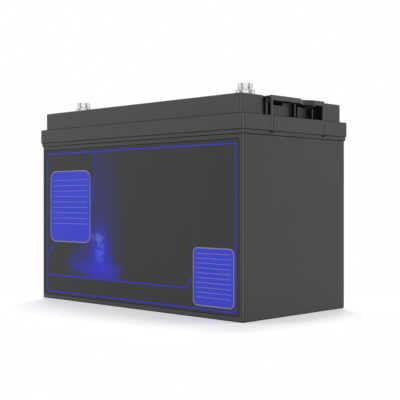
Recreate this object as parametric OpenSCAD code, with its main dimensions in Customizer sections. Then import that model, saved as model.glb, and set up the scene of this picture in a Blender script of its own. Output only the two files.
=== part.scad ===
// Deep cycle lithium battery: a moulded case with a stepped lid, two swing-out carrying handles,
// two bolted posts, and the cell pack and control board that it holds.
// Millimetres. X runs along the case, -Y is the labelled front, Z is up, and the base stands on Z = 0.

/* [Cells] */
// Thickness of one cell, along the case
cell_t = 60; // [50:0.5:66]
// Width of one cell, across the case
cell_w = 148; // [130:1:160]
// Height of one cell can
cell_h = 165; // [140:1:180]
// Radius of the cell can's upright edges
cell_r = 2.5; // [1:0.5:6]
// Radius of a cell's pole
pole_r = 9; // [7:0.5:11]
// Height of a cell's pole above the can
pole_h = 4; // [3:0.5:6]
// Distance of the cell poles, and of the posts above them, from the middle of the width
pole_y = 45.5; // [38:0.5:50]

/* [Pack] */
// Insulating sheet between two cells
sheet_t = 1; // [0.5:0.1:2]
// Thickness of the pack's end plates
end_plate_t = 6; // [4:0.5:10]
// Thickness of the compression bands
band_t = 0.8; // [0.5:0.1:1.5]
// Width of the compression bands
band_w = 16; // [10:1:24]
// Foam under the cells
floor_pad_t = 3; // [2:0.5:6]
// Foam along each side of the pack
side_pad_t = 5.2; // [3:0.1:8]
// Foam at the pack's closed end
end_pad_t = 2.2; // [1:0.1:5]
// Sheet that covers the cell tops
cover_t = 1; // [0.5:0.1:2]
// Room between the pack and the case's far end, for the control board
board_bay = 59.2; // [45:0.1:75]
// Room between the cell tops and the seam of the case
headroom = 15.5; // [12:0.5:25]
// Width of the series links and of the straps
link_w = 18; // [14:0.5:22]
// Thickness of the series links and of the straps
link_t = 2; // [1:0.5:3]

/* [Case] */
// Thickness of the case walls
wall = 4; // [3:0.1:5]
// Thickness of the case floor
floor_t = 4; // [3:0.1:6]
// Radius of the upright edges
corner_r = 2.5; // [2.5:0.1:4]
// Radius of the edge round the base
foot_r = 1.5; // [0.5:0.1:2.4]
// Height of the flange under the seam
flange_h = 4.3; // [3:0.1:7]
// How far the flange stands out from the walls
flange_out = 1.1; // [0.5:0.1:1.6]
// Depth of the label recess
recess_depth = 0.6; // [0.4:0.1:1]
// Margin at each end of the label recess
recess_side = 5; // [4:0.5:20]
// Margin under the label recess
recess_foot = 5.5; // [4:0.5:20]
// Margin between the label recess and the flange
recess_head = 4.7; // [3:0.1:20]
// Corner radius of the label recess
recess_r = 3; // [1:0.5:8]
// Gap round the label
label_gap = 0.3; // [0.2:0.1:1]
// Thickness of the label
label_t = 0.4; // [0.2:0.1:0.5]

/* [Lid] */
// Wall thickness of the lid
lid_wall = 3; // [2:0.1:3.2]
// How far the lid's rim stands out from the case walls
rim_out = 2; // [1.7:0.1:3]
// Height of the rim
rim_h = 15.8; // [14:0.1:22]
// Radius of the rim's top edge
rim_edge_r = 0.8; // [0.3:0.1:1.5]
// Height of the raised top above the rim
plateau_h = 19.7; // [16:0.1:26]
// Step from the rim in to the raised top, at the ends
plateau_in_x = 6.25; // [5.5:0.05:8]
// Step from the rim in to the raised top, at the long sides
plateau_in_y = 4; // [3:0.1:6]
// Radius of the raised top's upright edges
plateau_r = 2.5; // [2:0.1:4]
// Radius of the raised top's upper edge
crown_r = 1.5; // [0.5:0.1:1.9]
// Thickness of the tongue inside the case
tongue_t = 2; // [1.5:0.1:3]
// Depth of the tongue below the seam
tongue_h = 6; // [4:0.5:9]
// Thickness of the seal round the tongue
seal_t = 1; // [0.6:0.1:1.5]

/* [Handles] */
// Width over a handle's legs
handle_w = 88; // [80:0.1:96]
// Width of the legs
leg_t = 2.6; // [2.2:0.1:4]
// Depth of the legs in the rim
leg_depth = 5.4; // [4.4:0.1:6]
// Thickness of the handle's walls, and of its legs above the rim
handle_t = 1.8; // [1.4:0.1:2.4]
// Height of the grip
grip_h = 5.2; // [4:0.1:8]
// Depth of the grip
grip_depth = 11.5; // [9.5:0.1:12]
// How far the grip stands above the raised top
grip_rise = 0.2; // [0:0.1:1]
// Height of the pivot above the seam
pivot_up = 1.4; // [1.3:0.1:2]
// Radius of the trunnions
trunnion_r = 1.2; // [0.8:0.1:1.3]
// Length of the trunnions
trunnion_l = 2.8; // [2:0.1:4]
// Clearance round the trunnions
trunnion_fit = 0.1; // [0.05:0.01:0.2]
// Gap between a leg and each side of its slot
slot_gap = 0.35; // [0.3:0.05:0.6]
// How far a handle lies to one side in its slots
side_play = 0.2; // [0:0.05:0.25]
// Gap beside the legs' round ends under the rim
end_gap = 1.2; // [0.6:0.1:2]
// Width of the thumb scoop in the grip
scoop_w = 23.5; // [16:0.5:30]
// Width of the scoop's floor
scoop_floor = 2.9; // [2:0.1:8]
// Depth of the scoop
scoop_depth = 6; // [3:0.1:7]
// Distance of the scoop from the middle of the grip
scoop_off = 14.6; // [0:0.1:20]

/* [Handle pockets] */
// Radius of the pocket's shoulder
pocket_r = 26; // [22:0.5:32]
// Distance from a handle's side to the edge of the pocket
pocket_side = 13.6; // [11:0.1:16]
// Distance from a handle's other side to the pocket's straight end
pocket_far = 6.4; // [5:0.1:10]
// Depth of the pocket's shallow half, from the rim's face
pocket_shallow = 17; // [15:0.5:20]
// Depth of the pocket's deep half, from the rim's face
pocket_deep = 24; // [21:0.5:28]
// Thickness of the rest ribs
rib_t = 1.8; // [1.5:0.1:3]
// Distance of the shallow half's rib from the rim's face
rib_front = 1.5; // [1:0.1:3]
// Place of the rib in the shallow half, from the middle of the pocket
rib_shallow_y = -4.6; // [-12:0.2:0]
// Place of the rib in the deep half, from the middle of the pocket
rib_deep_y = 31.2; // [26:0.2:36]
// Gap between the rests and the grip over them
rest_gap = 0.4; // [0.3:0.1:0.8]
// Distance from a leg to the rest in the shallow half
rest_side = 3.4; // [2:0.1:6]
// Length of the low part of that rest
rest_low = 18.7; // [12:0.1:24]
// Drop of the low part
rest_drop = 1.8; // [1:0.1:4]
// Gap between the shallow half's rib and the bowed rest
bow_gap = 9.2; // [6:0.1:12]
// Radius of the bowed rest
bow_r = 60; // [40:1:80]
// Thickness of the stop behind a leg
stop_t = 2.9; // [2:0.1:4]

/* [Terminals] */
// Distance of a post from the end of the raised top
post_in = 27.2; // [24:0.1:36]
// Radius of a post's head
post_r = 9.8; // [9.4:0.1:11]
// Height of a post's head above the lid
post_h = 7.2; // [6:0.1:12]
// Bevel round the top of a post's head
post_bevel = 0.7; // [0.3:0.1:1.2]
// Radius of a post's shank
shank_r = 6; // [5.5:0.1:6.4]
// Radius of the threaded hole in a post
thread_r = 4; // [3.5:0.1:5]
// Depth of the threaded hole
thread_depth = 16; // [14:0.5:18]
// Thickness of the post gasket
gasket_t = 1.5; // [1:0.1:2]
// Outer radius of the post gasket
gasket_r = 9; // [8.6:0.1:9.2]
// Width across the flats of the nuts on a post's shank
nut_af = 18; // [17:0.5:19]
// Height of each nut
nut_h = 6.5; // [5:0.1:8]
// Width across the flats of the terminal bolt's head
bolt_af = 13.5; // [12:0.5:15]
// Height of the terminal bolt's head
bolt_head_h = 4; // [3:0.1:6]
// Length of the terminal bolt below its head
bolt_l = 14; // [12:0.5:16]
// Clearance round the terminal bolt's shank
bolt_fit = 0.2; // [0.1:0.05:0.3]
// Radius of the washers
washer_r = 7.1; // [6.5:0.1:8.5]
// Thickness of the lock washer
lock_t = 1.6; // [1:0.1:2.4]
// Width of the lock washer's split
lock_split = 1; // [0.5:0.1:2]
// Thickness of the plain washer
flat_t = 1.2; // [0.8:0.1:2]

/* [Control board] */
// Height of the board
board_h = 104; // [90:1:112]
// Thickness of the board
board_t = 1.6; // [1:0.1:2.4]
// Thickness of the bracket behind the board
bracket_t = 3; // [2:0.1:5]
// Height of the bracket's standoffs
standoff_h = 8; // [6:0.5:12]
// Distance of the board screws from the board's edges
screw_in = 6; // [4.5:0.5:10]
// Radius of the board screws
screw_r = 1.5; // [1:0.1:2]
// Depth of the transistors
chip_t = 2.3; // [1.5:0.1:4]
// Depth of the heat sink
sink_t = 12; // [8:0.5:20]
// Width of the cell wiring ribbon
ribbon_w = 12; // [8:1:16]
// Thickness of the cell wiring ribbon
ribbon_t = 0.5; // [0.3:0.1:1]

/* [Hidden] */
$fn = 64;

cell_count = 4;
eps = 0.01;

// Case and lid, worked out from the pack
pack_l = 2 * (band_t + end_plate_t) + cell_count * cell_t + (cell_count - 1) * sheet_t;
inner_l = end_pad_t + pack_l + board_bay;
inner_w = cell_w + 2 * (band_t + side_pad_t);
inner_r = corner_r - 1;
body_l = inner_l + 2 * wall;
body_w = inner_w + 2 * wall;
rim_l = body_l + 2 * rim_out;
rim_w = body_w + 2 * rim_out;
seam_z = floor_t + floor_pad_t + cell_h + headroom;
flange_z = seam_z - flange_h;
ledge_z = seam_z + rim_h;
top_z = ledge_z + plateau_h;
plateau_l = rim_l - 2 * plateau_in_x;
plateau_w = rim_w - 2 * plateau_in_y;
tongue_l = inner_l - 2 * seal_t;
tongue_w = inner_w - 2 * seal_t;
seal_fit = 0.05;
label_l = body_l - 2 * recess_side;
label_h = flange_z - recess_head - recess_foot;

// Pack
pack_x0 = -inner_l / 2 + end_pad_t;
pack_x1 = pack_x0 + pack_l;
cell_x = [for (i = [0 : cell_count - 1])
    pack_x0 + band_t + end_plate_t + cell_t / 2 + i * (cell_t + sheet_t)];
cell_z0 = floor_t + floor_pad_t;
cell_z1 = cell_z0 + cell_h;
pole_z = cell_z1 + pole_h;
link_z = pole_z + link_t;
cell_bolt_r = 3;
cell_bolt_af = 10;
cell_bolt_head = 4;
cell_bolt_in = 5;
cell_fit = 0.1;

// Handles, measured inwards from the rim's face
half_w = handle_w / 2;
pivot_z = seam_z + pivot_up;
leg_r = leg_depth / 2;
grip_z1 = top_z + grip_rise;
grip_z0 = grip_z1 - grip_h;
rest_z = grip_z0 - rest_gap;
leg_step_z = ledge_z + 0.5;
slot_back = leg_depth + slot_gap;
boss_side = trunnion_l + 1.8;

// Posts
post_x = plateau_l / 2 - post_in;
post_y = -pole_y;
post_top = top_z + post_h;
lid_under = top_z - lid_wall;
lug_z = lid_under - nut_h - link_t;
shank_foot = lug_z - nut_h - 1;
shank_fit = 0.1;
washer_bore = thread_r + 0.15;
head_turn = -15;

// Control board
standoff_r = 4;
screw_y = pole_y + link_w / 2 + standoff_r + 1.5;
board_w = 2 * (screw_y + screw_in);
board_x = pack_x1 + bracket_t + standoff_h;
board_face = board_x + board_t;
board_up = 16;
board_z0 = cell_z0 + board_up;
board_z1 = board_z0 + board_h;
bracket_edge = 10;
bracket_foot = 12;
bracket_w = board_w + bracket_edge;
bracket_h = board_z1 + bracket_edge - cell_z0;
lap_h = 22;
lap_z0 = board_z1 - lap_h;
chip_rows = 2;
chip_cols = 6;
chip_w = 10;
chip_h = 9;
chip_pitch_y = 14;
chip_pitch_z = 13;
chip_y = 14;
chip_up = 30;
chip_z = board_z0 + chip_up;
sink_edge = 3;
sink_z0 = chip_z - chip_h / 2 - sink_edge;
sink_z1 = chip_z + (chip_rows - 1) * chip_pitch_z + chip_h / 2 + sink_edge;
sink_fin = 2;
sink_base = 3;
plug_y = 30;
plug_w = 24;
plug_h = 9;
plug_t = 7;

function hex_r(flats) = flats / 2 / cos(30);

// Shapes used by several pieces

module round_rect(l, w, r) {
    square([l - 2 * r, w], center = true);
    square([l, w - 2 * r], center = true);
    for (x = [-1, 1], y = [-1, 1]) translate([x * (l / 2 - r), y * (w / 2 - r)]) circle(r);
}

module prism(l, w, r, z0, z1) {
    translate([0, 0, z0]) linear_extrude(z1 - z0) round_rect(l, w, r);
}

module block(x0, x1, y0, y1, z0, z1) {
    translate([x0, y0, z0]) cube([x1 - x0, y1 - y0, z1 - z0]);
}

// Outer strip of a slab's section, with its upper edge rounded
module edge_section(d, h, edge_r) {
    square([d - edge_r, h]);
    square([d, h - edge_r]);
    intersection() {
        translate([d - edge_r, h - edge_r]) circle(edge_r);
        square([d, h]);
    }
}

// Upright slab with round corners and a round upper edge
module crowned_slab(l, w, h, r, edge_r) {
    translate([-l / 2 + r, -w / 2 + r, 0]) cube([l - 2 * r, w - 2 * r, h]);
    for (turn = [0, 180]) rotate(turn) {
        translate([l / 2 - r, w / 2 - r, 0]) rotate([90, 0, 0])
            linear_extrude(w - 2 * r) edge_section(r, h, edge_r);
        translate([-l / 2 + r, w / 2 - r, 0]) rotate([90, 0, 90])
            linear_extrude(l - 2 * r) edge_section(r, h, edge_r);
        for (x = [-1, 1]) translate([x * (l / 2 - r), w / 2 - r, 0])
            rotate_extrude() edge_section(r, h, edge_r);
    }
}

// The two ends of the lid are the same, turned half round
module both_ends() {
    for (turn = [0, 180]) rotate(turn) children();
}

// A round bar across the case at a handle's pivot
module pivot_bar(r, y0, y1) {
    translate([rim_l / 2 - leg_r, y0, pivot_z]) rotate([-90, 0, 0]) cylinder(r = r, h = y1 - y0);
}

module tube(r_out, r_in, z0, z1) {
    translate([0, 0, z0]) difference() {
        cylinder(r = r_out, h = z1 - z0);
        translate([0, 0, -1]) cylinder(r = r_in, h = z1 - z0 + 2);
    }
}

// Case

module label_outline(l, h, r, depth) {
    translate([0, 0, recess_foot + label_h / 2]) rotate([90, 0, 0]) linear_extrude(depth)
        round_rect(l, h, r);
}

// Cut under the rim where a leg's round end turns
module leg_notch() {
    for (y = [-half_w, half_w - leg_t]) {
        pivot_bar(leg_r + slot_gap, y - end_gap, y + leg_t + end_gap);
        block(rim_l / 2 - leg_r, rim_l / 2 + 1, y - end_gap, y + leg_t + end_gap,
            pivot_z - leg_r - slot_gap, seam_z + 1);
    }
}

module case() {
    color("#3a3a3b") difference() {
        union() {
            translate([0, 0, seam_z]) mirror([0, 0, 1])
                crowned_slab(body_l, body_w, seam_z, corner_r, foot_r);
            prism(body_l + 2 * flange_out, body_w + 2 * flange_out, corner_r, flange_z, seam_z);
        }
        prism(inner_l, inner_w, inner_r, floor_t, seam_z + 1);
        for (turn = [0, 180]) rotate(turn) translate([0, -body_w / 2 + recess_depth, 0])
            label_outline(label_l, label_h, recess_r, recess_depth + 1);
        both_ends() leg_notch();
    }
}

module front_label() {
    color("#26262a") translate([0, -body_w / 2 + recess_depth, 0])
        label_outline(label_l - 2 * label_gap, label_h - 2 * label_gap, recess_r - label_gap, label_t);
}

// Lid

// Plan of a handle pocket, or of the skin round it when it is grown by a wall
module pocket_plan(grow) {
    step_y = rib_shallow_y + rib_t / 2;
    far_y = rib_deep_y + rib_t / 2;
    difference() {
        union() {
            translate([rim_l / 2 - pocket_shallow - grow, -half_w - pocket_side])
                square([pocket_shallow + grow + 1, handle_w + pocket_side + pocket_far + grow]);
            translate([rim_l / 2 - pocket_deep - grow, step_y - grow])
                square([pocket_deep + grow + 1, far_y - step_y + 2 * grow]);
        }
        translate([rim_l / 2 - plateau_in_x - pocket_r, -half_w - pocket_side]) circle(pocket_r - grow);
    }
}

module lid_hollow() {
    prism(rim_l - 2 * lid_wall, rim_w - 2 * lid_wall, corner_r - 1, seam_z - 1, ledge_z - lid_wall);
    translate([0, 0, ledge_z - lid_wall - eps]) linear_extrude(lid_wall + eps) difference() {
        round_rect(tongue_l - 2 * tongue_t, tongue_w - 2 * tongue_t, inner_r);
        both_ends() pocket_plan(lid_wall);
    }
    translate([0, 0, ledge_z - eps]) linear_extrude(plateau_h - lid_wall + eps) difference() {
        round_rect(plateau_l - 2 * lid_wall, plateau_w - 2 * lid_wall, inner_r);
        both_ends() pocket_plan(lid_wall);
    }
}

module lid_tongue() {
    difference() {
        prism(tongue_l, tongue_w, inner_r, seam_z - tongue_h, ledge_z - lid_wall + eps);
        prism(tongue_l - 2 * tongue_t, tongue_w - 2 * tongue_t, inner_r, seam_z - tongue_h - 1, ledge_z);
    }
}

// Block behind the rim that a leg's slot and trunnion hole are cut in
module leg_boss() {
    block(rim_l / 2 - slot_back - lid_wall, rim_l / 2 - lid_wall + eps,
        half_w - leg_t - slot_gap - lid_wall, half_w + boss_side, seam_z, ledge_z - lid_wall + eps);
}

// A leg's slot, and the notch that its trunnion turns in, which the case closes from below
module leg_slot() {
    block(rim_l / 2 - slot_back, rim_l / 2 + 1, half_w - leg_t - slot_gap, half_w + slot_gap,
        seam_z - 1, ledge_z + 1);
    pivot_bar(trunnion_r + trunnion_fit, half_w, half_w + trunnion_l + slot_gap);
    block(rim_l / 2 - leg_r - trunnion_r - trunnion_fit, rim_l / 2 - leg_r + trunnion_r + trunnion_fit,
        half_w, half_w + trunnion_l + slot_gap, seam_z - 1, pivot_z);
}

// Stop in the plane of the raised top's end, behind the leg next to the shallow half
module leg_stop() {
    block(rim_l / 2 - pocket_shallow, rim_l / 2 - plateau_in_x, -half_w - stop_t / 2, -half_w + stop_t / 2,
        ledge_z - eps, top_z - crown_r / 2);
}

module rest_rib(y, front, depth) {
    block(rim_l / 2 - depth - eps, rim_l / 2 - front, y - rib_t / 2, y + rib_t / 2, ledge_z - eps, rest_z);
}

// Flat rest with a low part, in the plane of the raised top's end
module flat_rest() {
    y0 = -half_w + leg_t + rest_side;
    x0 = rim_l / 2 - pocket_shallow - eps;
    x1 = rim_l / 2 - plateau_in_x;
    block(x0, x1, y0, rib_shallow_y, ledge_z - eps, rest_z - rest_drop);
    block(x0, x1, y0 + rest_low, rib_shallow_y, ledge_z - eps, rest_z);
}

// Rest that bows back from the same plane to the rib in the deep half
module bowed_rest() {
    y0 = rib_shallow_y + rib_t / 2 + bow_gap;
    translate([0, 0, ledge_z - eps]) linear_extrude(rest_z - ledge_z + eps) intersection() {
        translate([rim_l / 2 - plateau_in_x - bow_r, y0]) circle(bow_r);
        translate([rim_l / 2 - pocket_deep - eps, y0]) square([pocket_deep, rib_deep_y - y0]);
    }
}

module lid() {
    color("#3d3d3e") difference() {
        union() {
            difference() {
                union() {
                    translate([0, 0, seam_z]) crowned_slab(rim_l, rim_w, rim_h, corner_r, rim_edge_r);
                    translate([0, 0, ledge_z - eps])
                        crowned_slab(plateau_l, plateau_w, plateau_h + eps, plateau_r, crown_r);
                }
                lid_hollow();
                both_ends() translate([0, 0, ledge_z]) linear_extrude(plateau_h + 1) pocket_plan(0);
            }
            lid_tongue();
            both_ends() {
                for (side = [0, 1]) mirror([0, side, 0]) leg_boss();
                leg_stop();
                rest_rib(rib_shallow_y, rib_front, pocket_shallow);
                rest_rib(rib_deep_y, plateau_in_x, pocket_deep);
                flat_rest();
                bowed_rest();
            }
        }
        both_ends() for (side = [0, 1]) mirror([0, side, 0]) leg_slot();
        for (x = [-post_x, post_x]) translate([x, post_y, 0]) {
            translate([0, 0, lid_under - 1]) cylinder(r = shank_r + shank_fit, h = lid_wall + 2);
            translate([0, 0, top_z - gasket_t]) cylinder(r = gasket_r + shank_fit, h = gasket_t + 1);
        }
    }
}

module lid_seal() {
    color("#1a1a1a") difference() {
        prism(inner_l - 2 * seal_fit, inner_w - 2 * seal_fit, inner_r,
            seam_z - tongue_h + 1, seam_z - 1);
        prism(tongue_l + 2 * seal_fit, tongue_w + 2 * seal_fit, inner_r, seam_z - tongue_h, seam_z);
    }
}

// Handles

module leg_section() {
    translate([-leg_r, pivot_z]) circle(leg_r);
    translate([-leg_depth, pivot_z]) square([leg_depth, leg_step_z - pivot_z]);
    translate([-handle_t, pivot_z]) square([handle_t, grip_z1 - pivot_z]);
}

// Plan of the grip, or of the hollow in it when it is drawn in by a wall
module grip_plan(inset) {
    reach = half_w - leg_t + inset * 2;
    flare = inset * (scoop_w - scoop_floor) / 2 / scoop_depth;
    difference() {
        translate([rim_l / 2 - grip_depth + inset, -reach]) square([grip_depth - 2 * inset, 2 * reach]);
        translate([rim_l / 2, scoop_off]) polygon([
            [1, -scoop_w / 2 - flare], [0, -scoop_w / 2 - flare],
            [-scoop_depth - inset, -scoop_floor / 2 - inset / 2],
            [-scoop_depth - inset, scoop_floor / 2 + inset / 2],
            [0, scoop_w / 2 + flare], [1, scoop_w / 2 + flare]
        ]);
    }
}

// Moulded as a channel: a front plate with legs, and a grip that is open below and at its ends
module handle() {
    color("#363637") translate([0, -side_play, 0]) {
        difference() {
            translate([0, 0, grip_z0]) linear_extrude(grip_h) grip_plan(0);
            translate([0, 0, grip_z0 - 1]) linear_extrude(grip_h - handle_t + 1) grip_plan(handle_t);
        }
        for (y = [-half_w, half_w - leg_t]) translate([rim_l / 2, y + leg_t, 0])
            rotate([90, 0, 0]) linear_extrude(leg_t) leg_section();
        pivot_bar(trunnion_r, half_w - eps, half_w + trunnion_l);
        pivot_bar(trunnion_r, -half_w - trunnion_l, -half_w + eps);
    }
}

module handle_right() { handle(); }

module handle_left() { rotate(180) handle(); }

// Terminals

module post(x) {
    color("#c9cacc") translate([x, post_y, 0]) difference() {
        union() {
            translate([0, 0, top_z]) cylinder(r = post_r, h = post_h - post_bevel);
            translate([0, 0, post_top - post_bevel])
                cylinder(r1 = post_r, r2 = post_r - post_bevel, h = post_bevel);
            translate([0, 0, shank_foot]) cylinder(r = shank_r, h = top_z - shank_foot + eps);
        }
        translate([0, 0, post_top - thread_depth]) cylinder(r = thread_r, h = thread_depth + 1);
    }
}

module positive_post() { post(-post_x); }

module negative_post() { post(post_x); }

module gasket(x) {
    color("#202020") translate([x, post_y, 0])
        tube(gasket_r, shank_r + shank_fit, top_z - gasket_t, top_z);
}

module positive_gasket() { gasket(-post_x); }

module negative_gasket() { gasket(post_x); }

module hex_nut(z) {
    translate([0, 0, z]) difference() {
        cylinder(r = hex_r(nut_af), h = nut_h, $fn = 6);
        translate([0, 0, -1]) cylinder(r = shank_r + shank_fit, h = nut_h + 2);
    }
}

module post_nuts() {
    color("#b9bbbd") for (x = [-post_x, post_x]) translate([x, post_y, 0]) {
        hex_nut(lid_under - nut_h);
        hex_nut(lug_z - nut_h);
    }
}

// Hexagon head with a turned top edge
module hex_head(flats, h) {
    intersection() {
        cylinder(r = hex_r(flats), h = h, $fn = 6);
        cylinder(r1 = flats / 2 + h * tan(60), r2 = flats / 2 * 0.97, h = h);
    }
}

module terminal_bolt(x) {
    head_z = post_top + flat_t + lock_t;
    color("#cfd0d2") translate([x, post_y, head_z]) {
        rotate(head_turn) hex_head(bolt_af, bolt_head_h);
        translate([0, 0, -bolt_l]) cylinder(r = thread_r - bolt_fit, h = bolt_l + eps);
    }
}

module positive_bolt() { terminal_bolt(-post_x); }

module negative_bolt() { terminal_bolt(post_x); }

module lock_washer(x) {
    z = post_top + flat_t;
    color("#bfc1c3") translate([x, post_y, 0]) difference() {
        tube(washer_r, washer_bore, z, z + lock_t);
        rotate(head_turn) block(0, washer_r + 1, -lock_split / 2, lock_split / 2, z - 1, z + lock_t + 1);
    }
}

module positive_lock_washer() { lock_washer(-post_x); }

module negative_lock_washer() { lock_washer(post_x); }

module plain_washer(x) {
    color("#c4c6c8") translate([x, post_y, 0]) tube(washer_r, washer_bore, post_top, post_top + flat_t);
}

module positive_plain_washer() { plain_washer(-post_x); }

module negative_plain_washer() { plain_washer(post_x); }

// Cell pack

module cell(i) {
    color("#3f7fb5") translate([cell_x[i], 0, 0]) difference() {
        union() {
            prism(cell_t, cell_w, cell_r, cell_z0, cell_z1);
            for (y = [-pole_y, pole_y]) translate([0, y, cell_z1 - eps])
                cylinder(r = pole_r, h = pole_h + eps);
        }
        for (y = [-pole_y, pole_y]) translate([0, y, pole_z - cell_bolt_in - 1])
            cylinder(r = cell_bolt_r, h = cell_bolt_in + 2);
    }
}

module cell_1() { cell(0); }

module cell_2() { cell(1); }

module cell_3() { cell(2); }

module cell_4() { cell(3); }

module cell_sheets() {
    color("#e5dfc8") for (i = [0 : cell_count - 2]) translate([cell_x[i] + cell_t / 2, 0, 0])
        block(0, sheet_t, -cell_w / 2, cell_w / 2, cell_z0, cell_z1);
}

// Ribbed plate that spreads the bands' pull over a cell's face
module end_plate(x0) {
    rib_pitch = cell_w / 6;
    color("#8f9396") difference() {
        block(x0, x0 + end_plate_t, -cell_w / 2, cell_w / 2, cell_z0, cell_z1);
        for (k = [-2.5 : 2.5]) translate([0, k * rib_pitch, 0])
            block(x0 + end_plate_t / 4, x0 + end_plate_t * 3 / 4, -rib_pitch / 2 + 2, rib_pitch / 2 - 2,
                cell_z0 - 1, cell_z1 + 1);
    }
}

module end_plate_left() { end_plate(pack_x0 + band_t); }

module end_plate_right() { end_plate(pack_x1 - band_t - end_plate_t); }

module compression_bands() {
    color("#b4b6b8") for (share = [0.25, 0.75]) {
        z = cell_z0 + share * cell_h;
        difference() {
            block(pack_x0, pack_x1, -cell_w / 2 - band_t, cell_w / 2 + band_t,
                z - band_w / 2, z + band_w / 2);
            block(pack_x0 + band_t, pack_x1 - band_t, -cell_w / 2, cell_w / 2, z - band_w, z + band_w);
        }
    }
}

module floor_pad() {
    color("#2b2b2b") prism(inner_l - 2, inner_w - 2, inner_r, floor_t, cell_z0);
}

module side_pads() {
    pad_y = cell_w / 2 + band_t;
    color("#2e2e2e") for (side = [0, 1]) mirror([0, side, 0])
        block(pack_x0 + band_t, pack_x1 - band_t, pad_y, pad_y + side_pad_t, cell_z0, cell_z1 - tongue_h);
}

module end_pad() {
    color("#2e2e2e")
        block(-inner_l / 2, pack_x0, -cell_w / 2 + 4, cell_w / 2 - 4, cell_z0, cell_z1 - tongue_h);
}

// Sheet over the cell tops, open at the poles and over the vents
module cell_cover() {
    color("#c9b98a") difference() {
        block(cell_x[0] - cell_t / 2, cell_x[cell_count - 1] + cell_t / 2, -cell_w / 2, cell_w / 2,
            cell_z1, cell_z1 + cover_t);
        for (x = cell_x) {
            for (y = [-pole_y, pole_y]) translate([x, y, cell_z1 - 1])
                cylinder(r = pole_r + 0.4, h = cover_t + 2);
            translate([x + ribbon_w / 2 + 8, 0, cell_z1 - 1]) cylinder(r = 7, h = cover_t + 2);
        }
    }
}

// Copper link over two poles, humped in the middle so that it can give
module series_link(i) {
    span = cell_t + sheet_t;
    hump_r = 5;
    side = i % 2 == 0 ? 1 : -1;
    translate([cell_x[i] + span / 2, side * pole_y, 0]) difference() {
        union() {
            difference() {
                block(-span / 2 - link_w / 2, span / 2 + link_w / 2, -link_w / 2, link_w / 2, pole_z, link_z);
                block(-hump_r, hump_r, -link_w, link_w, pole_z - 1, link_z + 1);
            }
            translate([0, link_w / 2, pole_z]) rotate([90, 0, 0]) linear_extrude(link_w) intersection() {
                difference() {
                    circle(hump_r + link_t);
                    circle(hump_r);
                }
                translate([-hump_r - link_t, 0]) square([2 * (hump_r + link_t), hump_r + link_t]);
            }
        }
        for (x = [-span / 2, span / 2]) translate([x, 0, pole_z - 1])
            cylinder(r = cell_bolt_r + cell_fit, h = link_t + 2);
    }
}

module series_links() {
    color("#b8703e") for (i = [0 : cell_count - 2]) series_link(i);
}

module cell_bolts() {
    color("#c2c4c6") for (x = cell_x, y = [-pole_y, pole_y]) translate([x, y, link_z]) {
        hex_head(cell_bolt_af, cell_bolt_head);
        translate([0, 0, -link_t - cell_bolt_in])
            cylinder(r = cell_bolt_r - cell_fit, h = link_t + cell_bolt_in + eps);
    }
}

// Flat strap bent from a list of corners in the X-Z plane, at the posts' side of the pack
module strap(corners) {
    translate([0, post_y + link_w / 2, 0]) rotate([90, 0, 0]) linear_extrude(link_w) polygon(corners);
}

// Round end of a strap, on a post
module strap_end(x) {
    translate([x, post_y, lug_z]) cylinder(r = link_w / 2, h = link_t);
}

module cell_bolt_hole(i) {
    translate([cell_x[i], post_y, pole_z - 1]) cylinder(r = cell_bolt_r + cell_fit, h = link_t + 2);
}

module post_hole(x) {
    translate([x, post_y, lug_z - 1]) cylinder(r = shank_r + shank_fit, h = link_t + 2);
}

// From the first cell up to the positive post
module positive_strap() {
    x0 = -post_x;
    x1 = max(-post_x + nut_af, cell_x[0] + cell_bolt_af);
    color("#b8703e") difference() {
        union() {
            strap([
                [cell_x[0] - link_w / 2, pole_z], [x1, pole_z], [x1, lug_z + link_t], [x0, lug_z + link_t],
                [x0, lug_z], [x1 - link_t, lug_z], [x1 - link_t, link_z], [cell_x[0] - link_w / 2, link_z]
            ]);
            strap_end(x0);
        }
        cell_bolt_hole(0);
        post_hole(-post_x);
    }
}

// From the last cell down to the board's inner face
module pack_negative_strap() {
    last = cell_count - 1;
    color("#b8703e") difference() {
        strap([
            [cell_x[last] - link_w / 2, pole_z], [board_x - link_t, pole_z], [board_x - link_t, lap_z0],
            [board_x, lap_z0], [board_x, link_z], [cell_x[last] - link_w / 2, link_z]
        ]);
        cell_bolt_hole(last);
    }
}

// From the board's outer face up to the negative post
module output_strap() {
    x1 = post_x;
    color("#b8703e") difference() {
        union() {
            strap([
                [board_face, lap_z0], [board_face + link_t, lap_z0], [board_face + link_t, lug_z],
                [x1, lug_z], [x1, lug_z + link_t], [board_face, lug_z + link_t]
            ]);
            strap_end(x1);
        }
        post_hole(post_x);
    }
}

// Control board

module board_corners() {
    for (y = [-1, 1], z = [board_z0 + screw_in, board_z1 - screw_in])
        translate([0, y * screw_y, z]) rotate([0, 90, 0]) children();
}

module board_bracket() {
    foot_depth = bracket_t + standoff_h + board_t + bracket_foot;
    color("#4a4d50") difference() {
        union() {
            block(pack_x1, pack_x1 + bracket_t, -bracket_w / 2, bracket_w / 2, cell_z0, cell_z0 + bracket_h);
            block(pack_x1, pack_x1 + foot_depth, -bracket_w / 2, bracket_w / 2, cell_z0, cell_z0 + bracket_t);
            board_corners() translate([0, 0, pack_x1]) cylinder(r = standoff_r, h = bracket_t + standoff_h);
        }
        board_corners() translate([0, 0, pack_x1 + bracket_t]) cylinder(r = screw_r, h = standoff_h + 1);
    }
}

module control_board() {
    color("#1f5b3a") difference() {
        block(board_x, board_face, -board_w / 2, board_w / 2, board_z0, board_z1);
        board_corners() translate([0, 0, board_x - 1]) cylinder(r = screw_r + cell_fit, h = board_t + 2);
    }
}

module board_screws() {
    color("#bfc1c3") board_corners() {
        translate([0, 0, board_face]) cylinder(r = screw_r * 1.9, h = screw_r * 1.3);
        translate([0, 0, board_face - board_t - standoff_h + 2])
            cylinder(r = screw_r - cell_fit, h = board_t + standoff_h - 2 + eps);
    }
}

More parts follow.
